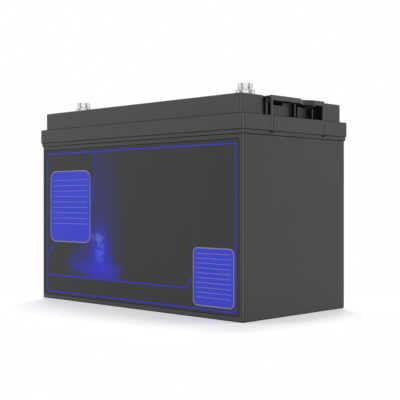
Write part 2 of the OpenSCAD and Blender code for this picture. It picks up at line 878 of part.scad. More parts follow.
module chip_places() {
    for (row = [0 : chip_rows - 1], col = [0 : chip_cols - 1])
        translate([0, chip_y + (col - (chip_cols - 1) / 2) * chip_pitch_y, chip_z + row * chip_pitch_z])
            children();
}

module power_transistors() {
    color("#161616") chip_places()
        block(board_face, board_face + chip_t, -chip_w / 2, chip_w / 2, -chip_h / 2, chip_h / 2);
}

// Finned plate pressed on the transistors
module heat_sink() {
    x0 = board_face + chip_t;
    sink_w = chip_cols * chip_pitch_y;
    fins = floor(sink_w / (3 * sink_fin));
    color("#a9acaf") {
        block(x0, x0 + sink_base, chip_y - sink_w / 2, chip_y + sink_w / 2, sink_z0, sink_z1);
        for (k = [0 : fins - 1]) {
            y = chip_y - sink_w / 2 + k * (sink_w - sink_fin) / (fins - 1);
            block(x0 + sink_base - eps, x0 + sink_t, y, y + sink_fin, sink_z0, sink_z1);
        }
    }
}

module sense_plug() {
    color("#e8e6df")
        block(board_face, board_face + plug_t, plug_y - plug_w / 2, plug_y + plug_w / 2,
            board_z1 - 4 - plug_h, board_z1 - 4);
}

// Flat wiring that taps each joint between the cells and runs down to the plug
module sense_ribbon() {
    z0 = cell_z1 + cover_t;
    x1 = board_face + plug_t / 2;
    tap_w = 5;
    tap_l = pole_y - pole_r - cell_fit * 3;
    taps = [[0, -1], [0, 1], [1, -1], [2, 1], [3, -1]];
    color("#d9822b") {
        block(cell_x[0] - tap_w / 2, x1 + ribbon_t, -ribbon_w / 2, ribbon_w / 2, z0, z0 + ribbon_t);
        for (tap = taps) {
            y0 = tap[1] > 0 ? 0 : -tap_l;
            block(cell_x[tap[0]] - tap_w / 2, cell_x[tap[0]] + tap_w / 2, y0, y0 + tap_l, z0, z0 + ribbon_t);
        }
        block(x1, x1 + ribbon_t, -ribbon_w / 2, plug_y + ribbon_w / 2, z0 - ribbon_w, z0 + ribbon_t);
        block(x1, x1 + ribbon_t, plug_y - ribbon_w / 2, plug_y + ribbon_w / 2, board_z1 - 4, z0);
    }
}

module temperature_probe() {
    probe_r = 2;
    probe_l = 9;
    probe_off = 12;
    color("#1c1c1c") translate([cell_x[1] + probe_off, ribbon_w / 2 + probe_r + 0.3, cell_z1 + cover_t])
        block(0, probe_l, -probe_r, probe_r, 0, 2 * probe_r);
}

module wireless_module() {
    board_l = 26;
    module_w = 16;
    can_l = 15;
    module_gap = 2;
    module_up = 6.5;
    z0 = sink_z1 + module_up;
    y0 = plug_y + plug_w / 2 + module_gap;
    color("#2c4f86") {
        block(board_face, board_face + 0.8, y0, y0 + module_w, z0, z0 + board_l);
        block(board_face + 0.8 - eps, board_face + 3, y0 + 1, y0 + module_w - 1, z0 + 1, z0 + 1 + can_l);
    }
}

case();
lid();
lid_seal();
front_label();
handle_right();
handle_left();
positive_post();
negative_post();
positive_gasket();
negative_gasket();
post_nuts();
positive_bolt();
negative_bolt();
positive_lock_washer();
negative_lock_washer();
positive_plain_washer();
negative_plain_washer();
cell_1();
cell_2();
cell_3();
cell_4();
cell_sheets();
end_plate_left();
end_plate_right();
compression_bands();
floor_pad();
side_pads();
end_pad();
cell_cover();
series_links();
cell_bolts();
positive_strap();
pack_negative_strap();
output_strap();
board_bracket();
control_board();
board_screws();
power_transistors();
heat_sink();
sense_plug();
sense_ribbon();
temperature_probe();
wireless_module();
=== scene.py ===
import math

import bpy
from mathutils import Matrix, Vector


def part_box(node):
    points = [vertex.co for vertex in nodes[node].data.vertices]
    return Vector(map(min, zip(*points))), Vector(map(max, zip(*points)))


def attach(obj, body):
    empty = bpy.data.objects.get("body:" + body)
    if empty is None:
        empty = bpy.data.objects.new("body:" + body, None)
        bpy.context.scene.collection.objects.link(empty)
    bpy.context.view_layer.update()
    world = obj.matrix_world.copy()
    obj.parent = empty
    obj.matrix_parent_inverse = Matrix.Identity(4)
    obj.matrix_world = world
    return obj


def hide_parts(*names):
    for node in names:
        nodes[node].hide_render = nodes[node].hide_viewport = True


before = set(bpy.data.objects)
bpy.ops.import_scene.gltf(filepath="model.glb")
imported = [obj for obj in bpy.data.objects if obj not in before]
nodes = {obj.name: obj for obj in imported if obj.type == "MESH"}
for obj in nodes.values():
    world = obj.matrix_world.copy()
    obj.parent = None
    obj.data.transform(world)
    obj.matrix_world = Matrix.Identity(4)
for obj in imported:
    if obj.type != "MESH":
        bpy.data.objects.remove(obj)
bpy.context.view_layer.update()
print("frame loaded,", len(nodes), "pieces")


# camera and studio

cameraSettings = {"place": (0.72704, -0.72165, 0.1186), "heading": 44.296, "lens": 79.60}
studio = {
    "sky": 0.05,                                # world light on the object
    "left": (-2.40, -2.25, 0.90), "leftWatts": 109, "leftSize": 2.7,
    "right": (2.25, 2.45, 0.90), "rightWatts": 109, "rightSize": 2.7,
    "front": (1.05, -1.05, 0.24), "frontWatts": 4.0, "frontSize": 0.20,
    "back": (-1.15, 1.15, 3.2), "backWatts": 92, "backSize": 1.6,
    "floorSize": 8.0, "floorShade": 0.12,       # paper colour for bounced light
    "paperGlow": 0.40, "paperDiffuse": 0.80,    # how the camera sees the paper near the object
    "footprint": (0.172, 0.088, 0), "spread": (2.6, 1, 1),      # the shadow is shorter at the ends
    "fadeStart": 0.0, "fadeEnd": 0.16,          # distance over which the paper turns plain white
    "flags": [(256, 34, 0.64), (14, 34, 0.64), (135, 70, 0.75)],    # heading, half width, grey in mirrors
}


def addCamera():
    data = bpy.data.cameras.new("photoCamera")
    data.lens = cameraSettings["lens"]
    data.sensor_width = 36
    data.clip_start = 0.01
    camera = bpy.data.objects.new("photoCamera", data)
    bpy.context.collection.objects.link(camera)
    camera.location = cameraSettings["place"]
    camera.rotation_euler = (math.radians(90), 0, math.radians(cameraSettings["heading"]))
    bpy.context.scene.camera = camera


def addLamp(name):
    data = bpy.data.lights.new(name + "Lamp", "AREA")
    data.energy = studio[name + "Watts"]
    data.shape = "SQUARE"
    data.size = studio[name + "Size"]
    lamp = bpy.data.objects.new(name + "Lamp", data)
    bpy.context.collection.objects.link(lamp)
    lamp.location = studio[name]
    aim = Vector((0, 0, 0.1)) - Vector(studio[name])
    lamp.rotation_euler = aim.to_track_quat("-Z", "Y").to_euler()
    lamp.visible_glossy = False                 # metal mirrors the white surroundings, not the lamps


def mathNode(tree, operation, first, second=None, clamp=False):
    node = tree.nodes.new("ShaderNodeMath")
    node.operation = operation
    node.use_clamp = clamp
    for socket, value in zip(node.inputs, (first, second)):
        if value is None:
            continue
        if isinstance(value, (int, float)):
            socket.default_value = value
        else:
            tree.links.new(value, socket)
    return node.outputs[0]


def vectorNode(tree, operation, first, second=None, scale=None):
    node = tree.nodes.new("ShaderNodeVectorMath")
    node.operation = operation
    for socket, value in zip(node.inputs, (first, second)):
        if value is None:
            continue
        if hasattr(value, "is_output"):
            tree.links.new(value, socket)
        else:
            socket.default_value = value
    if scale is not None:
        tree.links.new(scale, node.inputs["Scale"])
    return node.outputs["Value"] if operation in ("DOT_PRODUCT", "LENGTH") else node.outputs[0]


def rangeNode(tree, value, fromMin, fromMax, toMin=0.0, toMax=1.0, smooth=False):
    node = tree.nodes.new("ShaderNodeMapRange")
    node.interpolation_type = "SMOOTHSTEP" if smooth else "LINEAR"
    tree.links.new(value, node.inputs["Value"])
    for label, number in (("From Min", fromMin), ("From Max", fromMax), ("To Min", toMin), ("To Max", toMax)):
        if hasattr(number, "is_output"):
            tree.links.new(number, node.inputs[label])
        else:
            node.inputs[label].default_value = number
    return node.outputs["Result"]


def seenRays(tree):
    # camera, mirror and glass rays, which all meet the plain white
    path = tree.nodes.new("ShaderNodeLightPath")
    shiny = mathNode(tree, "MAXIMUM", path.outputs["Is Glossy Ray"], path.outputs["Is Transmission Ray"])
    return mathNode(tree, "MAXIMUM", path.outputs["Is Camera Ray"], shiny), path


def addWorld():
    world = bpy.data.worlds.new("studioWorld")
    bpy.context.scene.world = world
    world.use_nodes = True
    tree = world.node_tree
    tree.nodes.clear()
    out = tree.nodes.new("ShaderNodeOutputWorld")
    mix = tree.nodes.new("ShaderNodeMixShader")
    sky = tree.nodes.new("ShaderNodeBackground")
    white = tree.nodes.new("ShaderNodeBackground")
    seen, path = seenRays(tree)
    sky.inputs["Color"].default_value = (1, 1, 1, 1)
    sky.inputs["Strength"].default_value = studio["sky"]
    white.inputs["Strength"].default_value = 1
    coords = tree.nodes.new("ShaderNodeTexCoord")
    level = vectorNode(tree, "NORMALIZE", vectorNode(tree, "MULTIPLY", coords.outputs["Generated"], (1, 1, 0)))
    grey = 0.0
    for heading, half, depth in studio["flags"]:
        turn = math.radians(heading)
        near = vectorNode(tree, "DOT_PRODUCT", level, (math.cos(turn), math.sin(turn), 0))
        flag = rangeNode(tree, near, math.cos(math.radians(half)), 1.0, 0.0, depth, True)
        grey = mathNode(tree, "MAXIMUM", grey, flag)
    tree.links.new(mathNode(tree, "SUBTRACT", 1.0, mathNode(tree, "MULTIPLY", grey, path.outputs["Is Glossy Ray"])),
                   white.inputs["Color"])
    tree.links.new(seen, mix.inputs["Fac"])
    tree.links.new(sky.outputs[0], mix.inputs[1])
    tree.links.new(white.outputs[0], mix.inputs[2])
    tree.links.new(mix.outputs[0], out.inputs["Surface"])


def addFloor():
    bpy.ops.object.select_all(action="DESELECT")
    bpy.ops.mesh.primitive_plane_add(size=studio["floorSize"])
    floor = bpy.context.active_object
    floor.name = "floor"
    material = bpy.data.materials.new("studioPaper")
    material.use_nodes = True
    tree = material.node_tree
    tree.nodes.clear()
    out = tree.nodes.new("ShaderNodeOutputMaterial")
    coords = tree.nodes.new("ShaderNodeTexCoord")
    away = vectorNode(tree, "ABSOLUTE", coords.outputs["Object"])
    away = vectorNode(tree, "SUBTRACT", away, studio["footprint"])
    away = vectorNode(tree, "MULTIPLY", vectorNode(tree, "MAXIMUM", away, (0, 0, 0)), studio["spread"])
    reach = vectorNode(tree, "LENGTH", away)
    fade = rangeNode(tree, reach, studio["fadeStart"], studio["fadeEnd"], smooth=True)
    bounce = tree.nodes.new("ShaderNodeBsdfDiffuse")
    bounce.inputs["Color"].default_value = (*[studio["floorShade"]] * 3, 1)
    shaded = tree.nodes.new("ShaderNodeBsdfDiffuse")
    shaded.inputs["Color"].default_value = (*[studio["paperDiffuse"]] * 3, 1)
    glow = tree.nodes.new("ShaderNodeEmission")
    glow.inputs["Color"].default_value = (1, 1, 1, 1)
    glow.inputs["Strength"].default_value = studio["paperGlow"]
    white = tree.nodes.new("ShaderNodeEmission")
    white.inputs["Color"].default_value = (1, 1, 1, 1)
    white.inputs["Strength"].default_value = 1
    near = tree.nodes.new("ShaderNodeAddShader")
    tree.links.new(shaded.outputs[0], near.inputs[0])
    tree.links.new(glow.outputs[0], near.inputs[1])
    paper = tree.nodes.new("ShaderNodeMixShader")
    tree.links.new(fade, paper.inputs["Fac"])
    tree.links.new(near.outputs[0], paper.inputs[1])
    tree.links.new(white.outputs[0], paper.inputs[2])
    both = tree.nodes.new("ShaderNodeMixShader")
    tree.links.new(seenRays(tree)[0], both.inputs["Fac"])
    tree.links.new(bounce.outputs[0], both.inputs[1])
    tree.links.new(paper.outputs[0], both.inputs[2])
    tree.links.new(both.outputs[0], out.inputs["Surface"])
    floor.data.materials.append(material)


addCamera()
addWorld()
for lampName in ("left", "right", "front", "back"):
    addLamp(lampName)
addFloor()
bpy.context.scene.view_settings.view_transform = "Standard"
print("camera and studio ready")


# shader groups that several finishes share

def newGroup(name, inputs, outputs):
    group = bpy.data.node_groups.new(name, "ShaderNodeTree")
    for label, kind, value in inputs:
        socket = group.interface.new_socket(label, in_out="INPUT", socket_type=kind)
        socket.default_value = value
    for label, kind in outputs:
        group.interface.new_socket(label, in_out="OUTPUT", socket_type=kind)
    return group, group.nodes.new("NodeGroupInput"), group.nodes.new("NodeGroupOutput")


def useGroup(tree, group, **values):
    node = tree.nodes.new("ShaderNodeGroup")
    node.node_tree = group
    for label, value in values.items():
        socket = node.inputs[label]
        if hasattr(value, "is_output"):
            tree.links.new(value, socket)
        else:
            socket.default_value = value
    return node


def noiseNode(tree, coords, scale, detail=3, roughness=0.55, stretch=None):
    if stretch:
        mapping = tree.nodes.new("ShaderNodeMapping")
        mapping.inputs["Scale"].default_value = stretch
        tree.links.new(coords, mapping.inputs["Vector"])
        coords = mapping.outputs["Vector"]
    noise = tree.nodes.new("ShaderNodeTexNoise")
    noise.inputs["Detail"].default_value = detail
    noise.inputs["Roughness"].default_value = roughness
    tree.links.new(coords, noise.inputs["Vector"])
    if hasattr(scale, "is_output"):
        tree.links.new(scale, noise.inputs["Scale"])
    else:
        noise.inputs["Scale"].default_value = scale
    return noise.outputs["Fac"]


def makeMouldGrain():
    # spark-eroded mould texture: fine pits over a softer leathery ripple
    group, ins, outs = newGroup("mouldGrain", [
        ("Grain Scale", "NodeSocketFloat", 1500.0), ("Ripple Scale", "NodeSocketFloat", 420.0)],
        [("Height", "NodeSocketFloat"), ("Pits", "NodeSocketFloat")])
    coords = group.nodes.new("ShaderNodeTexCoord").outputs["Object"]
    grain = noiseNode(group, coords, ins.outputs["Grain Scale"], 2)
    cells = group.nodes.new("ShaderNodeTexVoronoi")
    cells.feature = "SMOOTH_F1"
    group.links.new(coords, cells.inputs["Vector"])
    group.links.new(ins.outputs["Ripple Scale"], cells.inputs["Scale"])
    ripple = mathNode(group, "MULTIPLY", cells.outputs["Distance"], 0.45)
    group.links.new(mathNode(group, "ADD", grain, ripple), outs.inputs["Height"])
    group.links.new(rangeNode(group, grain, 0.35, 0.62), outs.inputs["Pits"])
    return group


def makeSurfaceDrift():
    # slow change of shade and gloss over a large moulding
    group, ins, outs = newGroup("surfaceDrift", [
        ("Patch Scale", "NodeSocketFloat", 14.0), ("Amount", "NodeSocketFloat", 0.06)],
        [("Shade", "NodeSocketFloat"), ("Gloss", "NodeSocketFloat")])
    coords = group.nodes.new("ShaderNodeTexCoord").outputs["Object"]
    patch = noiseNode(group, coords, ins.outputs["Patch Scale"], 4)
    swing = mathNode(group, "MULTIPLY", mathNode(group, "SUBTRACT", patch, 0.5), 2.0)
    shade = mathNode(group, "ADD", mathNode(group, "MULTIPLY", swing, ins.outputs["Amount"]), 1.0)
    group.links.new(shade, outs.inputs["Shade"])
    scuff = noiseNode(group, coords, 60.0, 5, 0.65, (1.0, 1.0, 0.25))
    group.links.new(rangeNode(group, scuff, 0.3, 0.75), outs.inputs["Gloss"])
    return group


def makeWearHighlightShadeGroup():
    # edgeBand marks the box's rounded corners, rubbed in patches as wear and a painted highlight; a second attribute
    # marks where painted shade goes
    group, ins, outs = newGroup("wearHighlightShadeGroup", [("Amount", "NodeSocketFloat", 0.5)], [
        ("Mask", "NodeSocketFloat"), ("Band", "NodeSocketFloat"), ("Painted Shade", "NodeSocketFloat")])
    band = group.nodes.new("ShaderNodeAttribute")
    band.attribute_name = "edgeBand"
    coords = group.nodes.new("ShaderNodeTexCoord").outputs["Object"]
    broken = rangeNode(group, noiseNode(group, coords, 130.0, 4, 0.6), 0.32, 0.66)
    mask = mathNode(group, "MULTIPLY", band.outputs["Fac"], broken)
    group.links.new(band.outputs["Fac"], outs.inputs["Band"])
    paintedShade = group.nodes.new("ShaderNodeAttribute")
    paintedShade.attribute_name = "paintedShadeBand"
    group.links.new(paintedShade.outputs["Fac"], outs.inputs["Painted Shade"])
    group.links.new(mathNode(group, "MULTIPLY", mask, ins.outputs["Amount"], True), outs.inputs["Mask"])
    return group


def flatPoint(group):
    # object coordinates on the label's own plane
    coords = group.nodes.new("ShaderNodeTexCoord").outputs["Object"]
    return vectorNode(group, "MULTIPLY", coords, (1, 0, 1))


inkSoftness = 0.00012


def makePrintedLine():
    group, ins, outs = newGroup("printedLine", [
        ("Start", "NodeSocketVector", (0, 0, 0)), ("End", "NodeSocketVector", (0.1, 0, 0)),
        ("Half Width", "NodeSocketFloat", 0.0006)], [("Mask", "NodeSocketFloat")])
    along = vectorNode(group, "SUBTRACT", ins.outputs["End"], ins.outputs["Start"])
    toPoint = vectorNode(group, "SUBTRACT", flatPoint(group), ins.outputs["Start"])
    share = mathNode(group, "DIVIDE", vectorNode(group, "DOT_PRODUCT", toPoint, along),
                     vectorNode(group, "DOT_PRODUCT", along, along), True)
    foot = vectorNode(group, "SCALE", along, scale=share)
    away = vectorNode(group, "LENGTH", vectorNode(group, "SUBTRACT", toPoint, foot))
    edge = mathNode(group, "SUBTRACT", ins.outputs["Half Width"], away)
    group.links.new(rangeNode(group, edge, -inkSoftness, inkSoftness, smooth=True), outs.inputs["Mask"])
    return group


def makePrintedPanel():
    # rounded panel by signed distance, with its fill and its outline
    group, ins, outs = newGroup("printedPanel", [
        ("Centre", "NodeSocketVector", (0, 0, 0)), ("Half Size", "NodeSocketVector", (0.03, 0, 0.03)),
        ("Corner", "NodeSocketFloat", 0.008), ("Outline Width", "NodeSocketFloat", 0.001)],
        [("Fill", "NodeSocketFloat"), ("Outline", "NodeSocketFloat")])
    offset = vectorNode(group, "ABSOLUTE", vectorNode(group, "SUBTRACT", flatPoint(group), ins.outputs["Centre"]))
    split = group.nodes.new("ShaderNodeSeparateXYZ")
    group.links.new(vectorNode(group, "SUBTRACT", offset, ins.outputs["Half Size"]), split.inputs[0])
    reachX = mathNode(group, "ADD", split.outputs["X"], ins.outputs["Corner"])
    reachZ = mathNode(group, "ADD", split.outputs["Z"], ins.outputs["Corner"])
    outX = mathNode(group, "MAXIMUM", reachX, 0.0)
    outZ = mathNode(group, "MAXIMUM", reachZ, 0.0)
    square = mathNode(group, "ADD", mathNode(group, "MULTIPLY", outX, outX), mathNode(group, "MULTIPLY", outZ, outZ))
    inside = mathNode(group, "MINIMUM", mathNode(group, "MAXIMUM", reachX, reachZ), 0.0)
    reach = mathNode(group, "ADD", mathNode(group, "SQRT", square), inside)
    signed = mathNode(group, "SUBTRACT", reach, ins.outputs["Corner"])
    group.links.new(rangeNode(group, signed, inkSoftness, -inkSoftness, smooth=True), outs.inputs["Fill"])
    half = mathNode(group, "MULTIPLY", ins.outputs["Outline Width"], 0.5)
    band = mathNode(group, "SUBTRACT", half, mathNode(group, "ABSOLUTE", mathNode(group, "ADD", signed, half)))
    group.links.new(rangeNode(group, band, -inkSoftness, inkSoftness, smooth=True), outs.inputs["Outline"])
    return group


def makeSoftSpot():
    # oval glow that fades to nothing at its radii
    group, ins, outs = newGroup("softSpot", [
        ("Centre", "NodeSocketVector", (0, 0, 0)), ("Radii", "NodeSocketVector", (0.03, 1, 0.03)),
        ("Sway", "NodeSocketFloat", 0.0),
        ("Wisps", "NodeSocketFloat", 0.0)], [("Mask", "NodeSocketFloat")])
    point = flatPoint(group)
    wisp = group.nodes.new("ShaderNodeTexNoise")
    wisp.inputs["Scale"].default_value = 26.0
    wisp.inputs["Detail"].default_value = 3.0
    wisp.inputs["Distortion"].default_value = 0.6
    group.links.new(point, wisp.inputs["Vector"])
    drift = vectorNode(group, "SUBTRACT", wisp.outputs["Color"], (0.5, 0.5, 0.5))
    moved = vectorNode(group, "ADD", point, vectorNode(group, "SCALE", drift, scale=ins.outputs["Sway"]))
    flat = vectorNode(group, "MULTIPLY", vectorNode(group, "SUBTRACT", moved, ins.outputs["Centre"]), (1, 0, 1))
    share = vectorNode(group, "LENGTH", vectorNode(group, "DIVIDE", flat, ins.outputs["Radii"]))
    plain = rangeNode(group, share, 1.0, 0.0, smooth=True)
    streak = group.nodes.new("ShaderNodeTexNoise")
    streak.inputs["Scale"].default_value = 38.0
    streak.inputs["Detail"].default_value = 2.0
    streak.inputs["Distortion"].default_value = 1.6
    group.links.new(moved, streak.inputs["Vector"])
    fold = mathNode(group, "ABSOLUTE", mathNode(group, "SUBTRACT", streak.outputs["Fac"], 0.5))
    ridge = rangeNode(group, fold, 0.0, 0.16, 1.0, 0.0, smooth=True)
    thin = mathNode(group, "SUBTRACT", 1.0, mathNode(group, "MULTIPLY", ins.outputs["Wisps"],
                                                    mathNode(group, "SUBTRACT", 1.0, ridge)))
    group.links.new(mathNode(group, "MULTIPLY", plain, thin), outs.inputs["Mask"])
    return group


mouldGrain = makeMouldGrain()
surfaceDrift = makeSurfaceDrift()
wearHighlightShadeGroup = makeWearHighlightShadeGroup()
printedLine = makePrintedLine()
printedPanel = makePrintedPanel()
softSpot = makeSoftSpot()
print("shader groups ready")


# finishes

def newMaterial(name):
    material = bpy.data.materials.new(name)
    material.use_nodes = True
    tree = material.node_tree
    return material, tree, tree.nodes["Principled BSDF"]


def mixColors(tree, share, first, second):
    node = tree.nodes.new("ShaderNodeMix")
    node.data_type = "RGBA"
    for socket, value in ((node.inputs["Factor"], share), (node.inputs["A"], first), (node.inputs["B"], second)):
        if hasattr(value, "is_output"):
            tree.links.new(value, socket)
        else:
            socket.default_value = value if isinstance(value, float) else (*value, 1)
    return node.outputs["Result"]


def addBump(tree, shader, height, strength, distance):
    bump = tree.nodes.new("ShaderNodeBump")
    bump.inputs["Strength"].default_value = strength
    bump.inputs["Distance"].default_value = distance
    tree.links.new(height, bump.inputs["Height"])
    tree.links.new(bump.outputs["Normal"], shader.inputs["Normal"])


shellPlastics = {
    "casePlastic": {"color": (0.0890, 0.0890, 0.0896), "rough": (0.50, 0.60)},
    "lidPlastic": {"color": (0.0955, 0.0955, 0.0961), "rough": (0.48, 0.58)},
    "handlePlastic": {"color": (0.1190, 0.1190, 0.1196), "rough": (0.46, 0.57)},
}
shellLook = {
    # first colour: wear and a painted highlight on the box's rounded corners; second colour: painted shade along
    # bevelled edges and seams, in the handle pockets, on the rim's top and under the grips
    "wearAndHighlightColor": (0.15, 0.15, 0.151), "paintedShade": (0.004, 0.004, 0.004), "drift": 0.05, "wearHighlightShade": 0.4,
    "pits": (0.955, 1.045), "paintedShadeShare": 0.95,        # shade of the pits, depth of the painted shade
    "polish": 0.25, "coatRough": 0.14, "coatIor": 1.66,     # corners polished by handling
    "sheen": 0.12, "bump": 0.30, "bumpDepth": 0.00006,
}


def makeShellPlastic(name):
    plastic, look = shellPlastics[name], shellLook
    material, tree, shader = newMaterial(name)
    grain = useGroup(tree, mouldGrain)
    drift = useGroup(tree, surfaceDrift, Amount=look["drift"])
    wearHighlightShade = useGroup(tree, wearHighlightShadeGroup, Amount=look["wearHighlightShade"])
    pitted = mathNode(tree, "MULTIPLY", drift.outputs["Shade"],
                      rangeNode(tree, grain.outputs["Pits"], 0.0, 1.0, *look["pits"]))
    color = vectorNode(tree, "SCALE", plastic["color"], scale=pitted)
    # wear and a painted highlight in the middle of the box's rounded corners
    color = mixColors(tree, wearHighlightShade.outputs["Mask"], color, look["wearAndHighlightColor"])
    # painted shade along bevelled edges and seams, in the handle pockets, on the rim's top and under the grips
    paintedShadeShare = mathNode(tree, "MULTIPLY", wearHighlightShade.outputs["Painted Shade"], look["paintedShadeShare"])
    tree.links.new(mixColors(tree, paintedShadeShare, color, look["paintedShade"]), shader.inputs["Base Color"])
    rough = rangeNode(tree, drift.outputs["Gloss"], 0.0, 1.0, *plastic["rough"])
    polish = mathNode(tree, "MULTIPLY", wearHighlightShade.outputs["Band"], look["polish"])
    tree.links.new(mathNode(tree, "SUBTRACT", rough, polish), shader.inputs["Roughness"])
    tree.links.new(wearHighlightShade.outputs["Band"], shader.inputs["Coat Weight"])
    shader.inputs["Coat Roughness"].default_value = look["coatRough"]
    shader.inputs["Coat IOR"].default_value = look["coatIor"]
    shader.inputs["Specular IOR Level"].default_value = look["sheen"]
    addBump(tree, shader, grain.outputs["Height"], look["bump"], look["bumpDepth"])
    return material


def mm(x, z):
    return (x / 1000, 0, z / 1000)


labelPrint = {
    "ground": (0.0620, 0.0620, 0.0630), "line": (0.066, 0.058, 0.80), "panel": (0.078, 0.092, 0.80),
    "outline": (0.36, 0.36, 0.38), "rule": (0.42, 0.44, 0.62), "glow": (0.066, 0.066, 1.0),
    "core": (0.17, 0.28, 1.0), "haze": (0.062, 0.062, 0.30),
    "lineHalf": 0.00066, "outlineWidth": 0.0010, "ruleHalf": 0.00028, "ruleStrength": 0.6,
    "lines": [                                   # frame, divider, strip and connectors, in mm on the face
        ((-153.4, 9), (-153.4, 173.8)), ((152.7, 9), (152.7, 173.8)),
        ((-153.4, 173.8), (152.7, 173.8)), ((-153.4, 9), (152.7, 9)),
        ((-64.2, 173.8), (-64.2, 135.8)), ((-64.2, 135.8), (-69, 131.8)),
        ((-66, 134), (-66, 118.5)), ((-66, 118.5), (-69.5, 116)),
        ((-136.8, 68.5), (-153.4, 52.4)), ((-153.4, 28.7), (85.4, 28.7)),
        ((85.4, 28.7), (93.4, 40.4)), ((150.6, 40), (152.7, 40)),
    ],
    "panels": [                                  # centre, half size, corner
        ((-109, 111), (38, 42), 10), ((122.9, 41.5), (28.2, 29.5), 6),
    ],
    "rules": [                                   # first line, spacing, how many, from, to
        (142, -6.4, 9, -141, -77), (65, -4.9, 10, 99.5, 146.5),
    ],
    "spots": [                                   # centre, radii, sway, strength, wisps, finish
        ((-64, 96), (60, 130), 0, 0.58, 0, "haze"), ((-60, 62), (48, 56), 10, 0.60, 0.2, "haze"),
        ((-54, 60), (27, 40), 16, 0.95, 0.45, "glow"), ((-46, 40), (38, 26), 24, 0.72, 0.6, "glow"),
        ((-84, 46), (40, 18), 26, 0.62, 0.7, "glow"), ((-58, 76), (18, 9), 16, 0.75, 0.85, "core"),
        ((-52, 62), (12, 22), 18, 0.50, 0.9, "core"),
    ],
    "glowField": ((45.2, 101.6), (109.4, 72.9)), "lowField": ((0, 78), (153.4, 49.3)),
}


def makeLabelFilm():
    look = labelPrint
    material, tree, shader = newMaterial("labelFilm")
    drift = useGroup(tree, surfaceDrift, Amount=0.04)
    drift.inputs["Patch Scale"].default_value = 9.0
    color = vectorNode(tree, "SCALE", look["ground"], scale=drift.outputs["Shade"])
    field = None
    for centre, half in (look["glowField"], look["lowField"]):
        area = useGroup(tree, printedPanel, Centre=mm(*centre), Corner=0.0001)
        area.inputs["Half Size"].default_value = mm(*half)
        field = area.outputs["Fill"] if field is None else mathNode(tree, "MAXIMUM", field, area.outputs["Fill"])
    for centre, radii, sway, strength, wisps, finish in look["spots"]:
        spot = useGroup(tree, softSpot, Centre=mm(*centre), Radii=(radii[0] / 1000, 1, radii[1] / 1000),
                        Sway=sway / 1000, Wisps=wisps)
        share = mathNode(tree, "MULTIPLY", mathNode(tree, "MULTIPLY", spot.outputs["Mask"], strength), field)
        color = mixColors(tree, share, color, look[finish])
    lines = None
    for start, end in look["lines"]:
        line = useGroup(tree, printedLine, Start=mm(*start), End=mm(*end))
        line.inputs["Half Width"].default_value = look["lineHalf"]
        stroke = line.outputs["Mask"]
        lines = stroke if lines is None else mathNode(tree, "MAXIMUM", lines, stroke)
    color = mixColors(tree, lines, color, look["line"])
    for centre, half, corner in look["panels"]:
        panel = useGroup(tree, printedPanel, Centre=mm(*centre), Corner=corner / 1000)
        panel.inputs["Half Size"].default_value = mm(*half)
        panel.inputs["Outline Width"].default_value = look["outlineWidth"]
        color = mixColors(tree, panel.outputs["Fill"], color, look["panel"])
        color = mixColors(tree, panel.outputs["Outline"], color, look["outline"])
    for first, step, count, left, right in look["rules"]:
        for row in range(count):
            height = first + row * step
            rule = useGroup(tree, printedLine, Start=mm(left, height), End=mm(right, height))
            rule.inputs["Half Width"].default_value = look["ruleHalf"]
            share = mathNode(tree, "MULTIPLY", rule.outputs["Mask"], look["ruleStrength"])
            color = mixColors(tree, share, color, look["rule"])
    tree.links.new(color, shader.inputs["Base Color"])
    tree.links.new(rangeNode(tree, drift.outputs["Gloss"], 0.0, 1.0, 0.46, 0.56), shader.inputs["Roughness"])
    shader.inputs["Specular IOR Level"].default_value = 0.1
    coords = tree.nodes.new("ShaderNodeTexCoord").outputs["Object"]
    addBump(tree, shader, noiseNode(tree, coords, 900.0, 2), 0.12, 0.00003)
    return material


